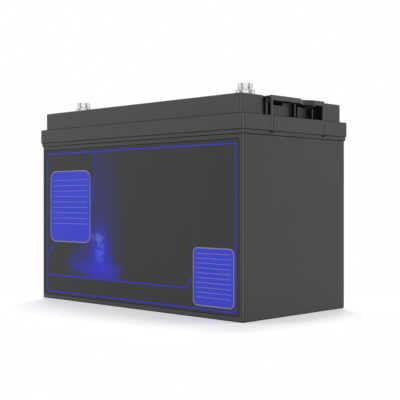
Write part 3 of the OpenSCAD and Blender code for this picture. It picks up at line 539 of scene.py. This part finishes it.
# plain finishes: two shades, roughness range, metal, grain scale and stretch, bump depth in mm
finishes = {
    "nickel": ((0.76, 0.76, 0.765), (0.84, 0.84, 0.845), (0.15, 0.22), 1, 700, (1, 1, 0.15), 0.008),
    "boltSteel": ((0.74, 0.74, 0.75), (0.83, 0.83, 0.84), (0.14, 0.21), 1, 900, (1, 1, 0.2), 0.010),
    "zincSteel": ((0.55, 0.56, 0.57), (0.66, 0.67, 0.68), (0.28, 0.42), 1, 260, (1, 1, 1), 0.010),
    "sealRubber": ((0.020, 0.020, 0.021), (0.030, 0.030, 0.031), (0.70, 0.85), 0, 1200, (1, 1, 1), 0.03),
    "cellFilm": ((0.030, 0.110, 0.36), (0.040, 0.135, 0.42), (0.28, 0.42), 0, 90, (1, 1, 0.3), 0.10),
    "insulatingSheet": ((0.40, 0.42, 0.34), (0.47, 0.49, 0.40), (0.75, 0.9), 0, 800, (1, 1, 1), 0.04),
    "plateAluminium": ((0.60, 0.61, 0.62), (0.70, 0.71, 0.72), (0.30, 0.45), 1, 1400, (1, 0.04, 1), 0.010),
    "bandSteel": ((0.42, 0.43, 0.44), (0.52, 0.53, 0.54), (0.26, 0.40), 1, 1300, (0.05, 0.05, 1), 0.010),
    "foamPad": ((0.050, 0.050, 0.052), (0.085, 0.085, 0.088), (0.85, 0.98), 0, 700, (1, 1, 1), 0.35),
    "copper": ((0.72, 0.34, 0.19), (0.83, 0.44, 0.27), (0.24, 0.40), 1, 600, (0.1, 1, 1), 0.012),
    "bracketPaint": ((0.085, 0.090, 0.095), (0.105, 0.110, 0.116), (0.45, 0.58), 0, 1000, (1, 1, 1), 0.05),
    "boardMask": ((0.010, 0.100, 0.045), (0.014, 0.140, 0.062), (0.30, 0.42), 0, 240, (1, 1, 0.1), 0.02),
    "blackEpoxy": ((0.012, 0.012, 0.013), (0.020, 0.020, 0.021), (0.50, 0.65), 0, 1500, (1, 1, 1), 0.02),
    "ivoryPlastic": ((0.66, 0.63, 0.54), (0.74, 0.71, 0.62), (0.40, 0.52), 0, 1300, (1, 1, 1), 0.02),
    "ribbonFilm": ((0.55, 0.20, 0.03), (0.68, 0.28, 0.05), (0.30, 0.42), 0, 1100, (1, 1, 0.08), 0.02),
    "moduleBlue": ((0.016, 0.055, 0.22), (0.024, 0.075, 0.27), (0.32, 0.44), 0, 500, (1, 1, 1), 0.02),
}


def makeFinish(name):
    dark, light, rough, metal, scale, stretch, depth = finishes[name]
    material, tree, shader = newMaterial(name)
    coords = tree.nodes.new("ShaderNodeTexCoord").outputs["Object"]
    grain = noiseNode(tree, coords, float(scale), 3, 0.6, stretch)
    patch = noiseNode(tree, coords, 45.0, 4)
    wearHighlightShade = useGroup(tree, wearHighlightShadeGroup, Amount=0.5)
    share = mathNode(tree, "MULTIPLY", mathNode(tree, "ADD", grain, patch), 0.5)
    color = mixColors(tree, rangeNode(tree, share, 0.32, 0.68), dark, light)
    tree.links.new(mixColors(tree, wearHighlightShade.outputs["Mask"], color, tuple(min(1.0, c * 1.25) for c in light)),
                   shader.inputs["Base Color"])
    tree.links.new(rangeNode(tree, patch, 0.3, 0.7, rough[0], rough[1]), shader.inputs["Roughness"])
    shader.inputs["Metallic"].default_value = metal
    addBump(tree, shader, grain, 0.4, depth / 1000)
    return material


finishOf = {name: makeFinish(name) for name in finishes}
for plasticName in shellPlastics:
    finishOf[plasticName] = makeShellPlastic(plasticName)
finishOf["labelFilm"] = makeLabelFilm()
print("finishes ready,", len(finishOf))

nodeFinish = {
    "case": "casePlastic", "lid": "lidPlastic", "handle_right": "handlePlastic", "handle_left": "handlePlastic",
    "front_label": "labelFilm", "lid_seal": "sealRubber",
    "positive_gasket": "sealRubber", "negative_gasket": "sealRubber",
    "positive_post": "nickel", "negative_post": "nickel", "post_nuts": "zincSteel",
    "positive_bolt": "boltSteel", "negative_bolt": "boltSteel",
    "positive_lock_washer": "boltSteel", "negative_lock_washer": "boltSteel",
    "positive_plain_washer": "boltSteel", "negative_plain_washer": "boltSteel",
    "cell_1": "cellFilm", "cell_2": "cellFilm", "cell_3": "cellFilm", "cell_4": "cellFilm",
    "cell_sheets": "insulatingSheet", "cell_cover": "insulatingSheet",
    "end_plate_left": "plateAluminium", "end_plate_right": "plateAluminium", "heat_sink": "plateAluminium",
    "compression_bands": "bandSteel", "floor_pad": "foamPad", "side_pads": "foamPad", "end_pad": "foamPad",
    "series_links": "copper", "positive_strap": "copper", "pack_negative_strap": "copper", "output_strap": "copper",
    "cell_bolts": "zincSteel", "board_screws": "zincSteel", "board_bracket": "bracketPaint",
    "control_board": "boardMask", "power_transistors": "blackEpoxy", "temperature_probe": "blackEpoxy",
    "sense_plug": "ivoryPlastic", "sense_ribbon": "ribbonFilm", "wireless_module": "moduleBlue",
}
for name, node in nodes.items():
    node.data.materials.clear()
    node.data.materials.append(finishOf[nodeFinish[name]])


# softened copies of the pieces whose edges show

softPieces = {                                   # node: name, body, slot, edge radius in mm, least turn of an edge
    "case": ("caseShell", "case", "case_plastic", 0.28, 40),
    "lid": ("lidShell", "case", "case_plastic", 0.24, 40),
    "handle_right": ("handleRightSoft", "handle_right", "handle_plastic", 0.30, 20),
    "handle_left": ("handleLeftSoft", "handle_left", "handle_plastic", 0.30, 20),
}
shoulderLevel = 0.2033
hair = 0.00002
handlePocket = {                                 # at the right-hand end, turned for the other; also sets the painted shade inside the pocket
    "x": (0.140, 0.1636), "y": (-0.062, 0.054), "z": (shoulderLevel, 0.2226),
    "back": 0.1495, "wallShade": 0.93,           # painted shade on the side walls and the back of the pocket
    "curve": -0.0460, "curveShade": 0.95, "curvePower": 0.6,        # painted shade on the curved wall beside the leg
    "rib": 0.0026,                               # front faces narrower than this get no painted shade
    "zones": [                                   # y from, y to, painted shade at each
        (-0.0620, -0.0468, 0.85, 0.85), (-0.0468, -0.0055, 0.20, 0.20), (-0.0055, 0.0050, 0.85, 0.85),
        (0.0050, 0.0165, 0.36, 0.96), (0.0165, 0.0312, 0.90, 0.98), (0.0312, 0.0540, 0.85, 0.85),
    ],
    "rests": [                                   # y from, y to, level, drop
        (-0.0381, -0.0192, 0.2158, 0.0015), (0.0054, 0.0322, 0.2176, 0.0024),
    ],
}
edgeLook = {
    # how far a face turns from square sets the corner band for wear and a painted highlight
    "fullTurn": 0.2, "upright": 0.1, "bandPower": 1.5,
    "corner": (0.145, 0.07),                     # beyond these the four corners of the box begin
    # painted shade on upright bevels, and under the grip above the grip's level
    "uprightEdge": 0.3, "paintedShadeUnderGrip": 0.85, "gripLevel": 0.21,
    "flank": (0.005, 0.6), "flankShade": 0.25,   # painted shade on both sides of a corner's light strip
    # painted shade on the rim's rounded top
    "rim": (0.2020, 0.2040), "rimGain": 2.5, "smooth": 32,
}


def chooseOnly(piece):
    bpy.ops.object.select_all(action="DESELECT")
    piece.select_set(True)
    bpy.context.view_layer.objects.active = piece


def addBar(place, size):
    bpy.ops.object.select_all(action="DESELECT")
    bpy.ops.mesh.primitive_cube_add(size=1, location=place, scale=size)
    bpy.ops.object.transform_apply(location=True, rotation=True, scale=True)
    return bpy.context.active_object


def joinBy(piece, other, operation):
    chooseOnly(piece)
    join = piece.modifiers.new("join", "BOOLEAN")
    join.operation = operation
    join.object = other
    bpy.ops.object.modifier_apply(modifier="join")
    bpy.data.objects.remove(other)


def flattenFaces(piece):
    weigh = piece.modifiers.new("flatFaces", "WEIGHTED_NORMAL")
    weigh.keep_sharp = True
    bpy.ops.object.modifier_apply(modifier="flatFaces")


def lowerRests(piece):
    # the rests stand clear of the grip's underside
    bpy.ops.object.mode_set(mode="EDIT")
    bpy.ops.mesh.select_mode(type="VERT")
    for start, end, level, drop in handlePocket["rests"]:
        bpy.ops.mesh.select_all(action="DESELECT")
        bpy.ops.object.mode_set(mode="OBJECT")
        for point in piece.data.vertices:
            side = math.copysign(1, point.co.x)
            inside = side * point.co.x > handlePocket["x"][0] and start < side * point.co.y < end
            point.select = inside and abs(point.co.z - level) < 2.5 * hair
        bpy.ops.object.mode_set(mode="EDIT")
        bpy.ops.transform.translate(value=(0, 0, -drop))
    bpy.ops.object.mode_set(mode="OBJECT")


def paintedPocketShade(mesh, face):
    # painted shade on the walls inside the handle pockets, where little light gets in
    look = handlePocket
    side = math.copysign(1, face.center.x)
    place = (side * face.center.x, side * face.center.y, face.center.z)
    inside = all(look[axis][0] < part < look[axis][1] for axis, part in zip("xyz", place))
    spread = [mesh.vertices[index].co.y for index in face.vertices]
    narrow = abs(face.normal.x) > 0.9 and max(spread) - min(spread) < look["rib"]
    if narrow or not inside:
        return 0.0
    x, y = place[:2]
    sideways = abs(face.normal.y)
    if sideways > 0.9 or x < look["back"]:
        return look["wallShade"]
    if y < look["curve"] and abs(face.normal.z) < 0.1 and sideways > 0.02:
        return look["curveShade"] * sideways ** look["curvePower"]
    for start, end, first, last in look["zones"]:
        if start <= y < end:
            return first + (last - first) * (y - start) / (end - start)
    return 0.0


def paintedRimShade(face, turned):
    # painted shade on the rounded top of the rim, where the raised part begins
    low, high = edgeLook["rim"]
    onRim = low < face.center.z < high and abs(face.normal.z) > 0.1
    return min(1.0, edgeLook["rimGain"] * turned) if onRim else 0.0


def markFaces(piece, nodeName):
    # face attributes for the finishes: wear and a painted highlight on the box's rounded corners, painted shade
    # elsewhere; the bevels still carry the second material slot
    look = edgeLook
    piece.data.attributes.new("edgeBand", "FLOAT", "FACE")
    piece.data.attributes.new("paintedShadeBand", "FLOAT", "FACE")
    bands, paintedShades = (piece.data.attributes[label].data for label in ("edgeBand", "paintedShadeBand"))
    for face in piece.data.polygons:
        turned = (1 - max(abs(part) for part in face.normal)) / look["fullTurn"]
        upright = abs(face.normal.z) < look["upright"]
        outer = abs(face.center.x) > look["corner"][0] and abs(face.center.y) > look["corner"][1]
        bevelled = face.material_index == 1
        rounded = upright and outer and not bevelled
        bands[face.index].value = min(1.0, turned) ** look["bandPower"] if rounded else 0.0
        if bevelled:                             # painted shade along bevelled edges and seams; upright edges stay lighter
            shade = look["uprightEdge"] if upright and nodeName != "case" else 1.0
        elif nodeName == "lid":
            # painted shade inside the handle pockets and on the rim's rounded top
            shade = max(paintedPocketShade(piece.data, face), paintedRimShade(face, turned))
        elif nodeName == "case":
            # painted shade on the case's level rounded edges
            shade = 0.0 if upright else min(1.0, turned)
        else:
            # painted shade under the grip
            under = face.normal.z < -0.2 and face.center.z > look["gripLevel"]
            shade = look["paintedShadeUnderGrip"] if under else 0.0
        # painted shade on both sides of a corner's light strip
        if upright and outer and look["flank"][0] < turned < look["flank"][1]:
            shade = max(shade, look["flankShade"])
        paintedShades[face.index].value = shade
        face.material_index = 0
    piece.data.materials.pop(index=1)


def softenedCopy(nodeName):
    name, body, slot, radius, turnLimit = softPieces[nodeName]
    mesh = nodes[nodeName].data.copy()
    mesh.name = name
    piece = bpy.data.objects.new(name, mesh)
    bpy.context.collection.objects.link(piece)
    chooseOnly(piece)
    mesh.materials.append(finishOf[nodeFinish[nodeName]])
    for point in mesh.vertices:                 # the pocket floor lies a hair under the shoulder
        if 0 < shoulderLevel - point.co.z < hair:
            point.co.z = shoulderLevel
    bpy.ops.object.mode_set(mode="EDIT")
    bpy.ops.mesh.select_all(action="SELECT")
    bpy.ops.mesh.remove_doubles(threshold=hair)
    bpy.ops.mesh.dissolve_limited(angle_limit=math.radians(0.5))
    bpy.ops.object.mode_set(mode="OBJECT")
    if mesh.has_custom_normals:
        bpy.ops.mesh.customdata_custom_splitnormals_clear()
    if nodeName == "lid":
        lowerRests(piece)
    bevel = piece.modifiers.new("softEdges", "BEVEL")
    bevel.width = radius / 1000
    bevel.segments = 2
    bevel.limit_method = "ANGLE"
    bevel.angle_limit = math.radians(turnLimit)
    bevel.use_clamp_overlap = False             # a short edge in the seams would thin every bevel
    bevel.material = 1
    bpy.ops.object.modifier_apply(modifier="softEdges")
    markFaces(piece, nodeName)
    bpy.ops.object.shade_smooth_by_angle(angle=math.radians(edgeLook["smooth"]))
    flattenFaces(piece)
    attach(piece, body)
    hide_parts(nodeName)
    print(name, len(piece.data.polygons), "faces")


for nodeName in softPieces:
    softenedCopy(nodeName)
print("softened copies ready")


# terminal bolts with chamfered heads, turned so that a flat meets the camera

terminalBolt = {
    "flats": 0.0143, "head": 0.004, "corner": 0.0024, "chamfer": 0.0010, "chamferSteps": 3,
    "trim": 1.005, "lowTrim": 0.6,               # cutter's radius over the corners, its share below the head
    "shank": 0.0038, "overlap": 0.001, "turn": -44.8, "smooth": 20,
}


def addRound(radius, low, high, middle, sides=64, turn=0.0):
    bpy.ops.object.select_all(action="DESELECT")
    bpy.ops.mesh.primitive_cylinder_add(vertices=sides, radius=radius, depth=high - low,
                                        location=(middle[0], middle[1], (low + high) / 2), rotation=(0, 0, turn))
    piece = bpy.context.active_object
    bpy.ops.object.transform_apply(location=True, rotation=True, scale=True)
    return piece


def bevelEdges(piece, width, segments, angle):
    chooseOnly(piece)
    bevel = piece.modifiers.new("edges", "BEVEL")
    bevel.width = width
    bevel.segments = segments
    bevel.limit_method = "ANGLE"
    bevel.angle_limit = math.radians(angle)
    bpy.ops.object.modifier_apply(modifier="edges")


def roundUprights(piece, width):
    chooseOnly(piece)
    bpy.ops.object.mode_set(mode="EDIT")
    bpy.ops.mesh.select_mode(type="EDGE")
    bpy.ops.mesh.select_all(action="DESELECT")
    bpy.ops.object.mode_set(mode="OBJECT")
    for edge in piece.data.edges:
        first, second = (piece.data.vertices[index].co for index in edge.vertices)
        edge.select = abs(first.z - second.z) > 0.001
    bpy.ops.object.mode_set(mode="EDIT")
    bpy.ops.mesh.bevel(offset=width, segments=4)
    bpy.ops.object.mode_set(mode="OBJECT")


def addTerminalBolt(name, nodeName):
    look = terminalBolt
    low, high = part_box(nodeName)
    middle = ((low[0] + high[0]) / 2, (low[1] + high[1]) / 2)
    base = high[2] - look["head"]
    corner = look["flats"] / math.sqrt(3)
    bolt = addRound(corner, base, high[2], middle, 6, math.radians(look["turn"]))
    roundUprights(bolt, look["corner"])
    trim = addRound(corner * look["trim"], base - look["chamfer"] * look["lowTrim"], high[2], middle)
    bevelEdges(trim, look["chamfer"], look["chamferSteps"], 60)
    joinBy(bolt, trim, "INTERSECT")
    joinBy(bolt, addRound(look["shank"], low[2], base + look["overlap"], middle), "UNION")
    chooseOnly(bolt)
    bpy.ops.object.shade_smooth_by_angle(angle=math.radians(look["smooth"]))
    flattenFaces(bolt)
    bolt.name = name
    bolt.data.materials.append(finishOf["boltSteel"])
    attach(bolt, nodeName)
    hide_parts(nodeName)
    print(name, len(bolt.data.polygons), "faces")


addTerminalBolt("positiveBoltTurned", "positive_bolt")
addTerminalBolt("negativeBoltTurned", "negative_bolt")
print("bolts ready")


# moulded polarity marks on the raised top

polarityMark = {"length": 0.012, "width": 0.0032, "height": 0.0007, "sink": 0.0003, "inwards": 0.025, "edge": 0.0002}


def addPolarityMark(name, postName, cross):
    look = polarityMark
    low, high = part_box(postName)
    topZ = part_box("lid")[1][2]
    middleX = (low[0] + high[0]) / 2
    place = Vector((middleX - math.copysign(look["inwards"], middleX), (low[1] + high[1]) / 2,
                    topZ + (look["height"] - look["sink"]) / 2))
    tall = look["height"] + look["sink"]
    mark = addBar(place, (look["length"], look["width"], tall))
    if cross:
        joinBy(mark, addBar(place, (look["width"], look["length"], tall)), "UNION")
    bevelEdges(mark, look["edge"], 2, 30)
    bpy.ops.object.shade_smooth_by_angle(angle=math.radians(edgeLook["smooth"]))
    mark.name = name
    mark.data.materials.append(finishOf["lidPlastic"])
    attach(mark, "case")


addPolarityMark("positiveMark", "positive_post", True)
addPolarityMark("negativeMark", "negative_post", False)
print("polarity marks ready")
